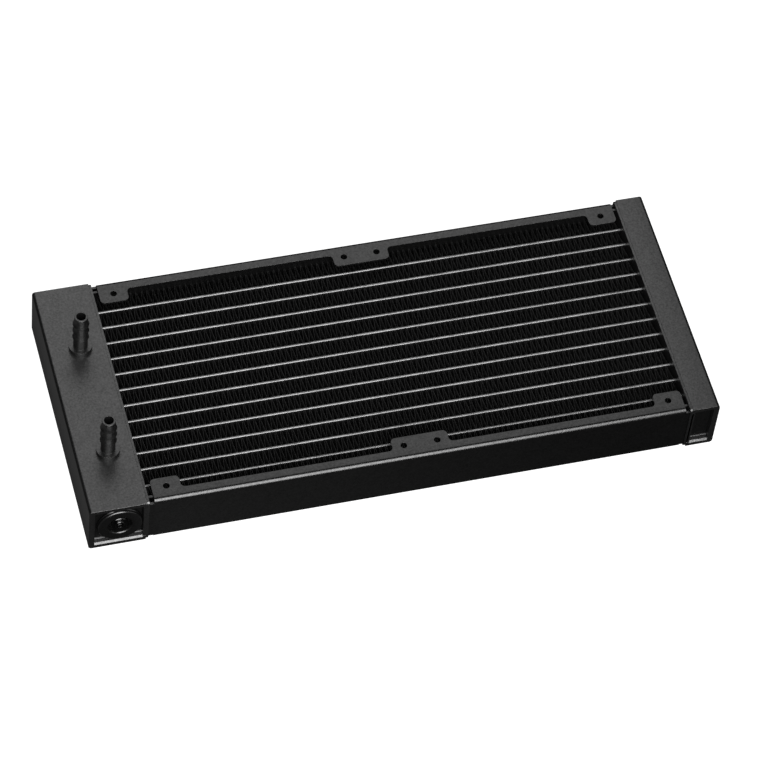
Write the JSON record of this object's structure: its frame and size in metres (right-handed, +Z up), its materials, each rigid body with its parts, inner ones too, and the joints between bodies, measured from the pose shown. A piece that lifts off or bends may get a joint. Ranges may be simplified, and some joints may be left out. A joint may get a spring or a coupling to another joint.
{
  "type": "liquid cooling radiator",
  "caption": "Flat two-fan liquid cooling radiator: two end tanks, flat tubes with corrugated fins, side channels with fan screw tabs, two hose barbs and a fill plug.",
  "frame": {"origin": "bottom centre: under the middle of the bounding box, on the plane that the tanks rest on", "axes": "+X along the tubes, from the wide tank with the hose barbs to the narrow tank; +Y across the tubes, away from the fill port; +Z up, the way the hose barbs point"},
  "size_m": [0.282, 0.12, 0.0494],
  "materials": {
    "tank_paint": "satin",
    "header_paint": "satin",
    "cap_paint": "satin",
    "channel_paint": "satin",
    "core_paint": "satin",
    "tube_paint": "satin",
    "fin_metal": "satin",
    "barb_paint": "satin",
    "plug_steel": "satin",
    "seal_rubber": "matte"
  },
  "bodies": {
    "radiator": {"tank_shell_left": "tank_paint", "tank_shell_right": "tank_paint", "header_plate_left": "header_paint", "header_plate_right": "header_paint", "end_cap_left_front": "cap_paint", "end_cap_left_rear": "cap_paint", "end_cap_right_front": "cap_paint", "end_cap_right_rear": "cap_paint", "divider_plate": "header_paint", "hose_barb_rear": "barb_paint", "hose_barb_front": "barb_paint", "port_boss": "cap_paint", "side_channel_rear": "channel_paint", "side_channel_front": "channel_paint", "core_side_plate_rear": "core_paint", "core_side_plate_front": "core_paint", "tube_01": "tube_paint", "tube_02": "tube_paint", "tube_03": "tube_paint", "tube_04": "tube_paint", "tube_05": "tube_paint", "tube_06": "tube_paint", "tube_07": "tube_paint", "tube_08": "tube_paint", "tube_09": "tube_paint", "tube_10": "tube_paint", "tube_11": "tube_paint", "tube_12": "tube_paint", "fin_row_01": "fin_metal", "fin_row_02": "fin_metal", "fin_row_03": "fin_metal", "fin_row_04": "fin_metal", "fin_row_05": "fin_metal", "fin_row_06": "fin_metal", "fin_row_07": "fin_metal", "fin_row_08": "fin_metal", "fin_row_09": "fin_metal", "fin_row_10": "fin_metal", "fin_row_11": "fin_metal", "fin_row_12": "fin_metal", "fin_row_13": "fin_metal"},
    "seal": {"plug_seal": "seal_rubber"},
    "plug": {"fill_plug": "plug_steel"}
  },
  "joints": [
    {"name": "plug_travel", "type": "slide", "parent": "radiator", "child": "seal", "axis": [0, -1, 0], "range_m": [0, 0.0056]},
    {"name": "plug_turn", "type": "hinge", "parent": "seal", "child": "plug", "pos_m": [-0.1273, -0.0599, 0.0135], "axis": [0, -1, 0], "range_deg": [0, 2525]}
  ],
  "couplings": [
    {"joint": "plug_turn", "follows": "plug_travel", "rad_per_m": 7854}
  ]
}
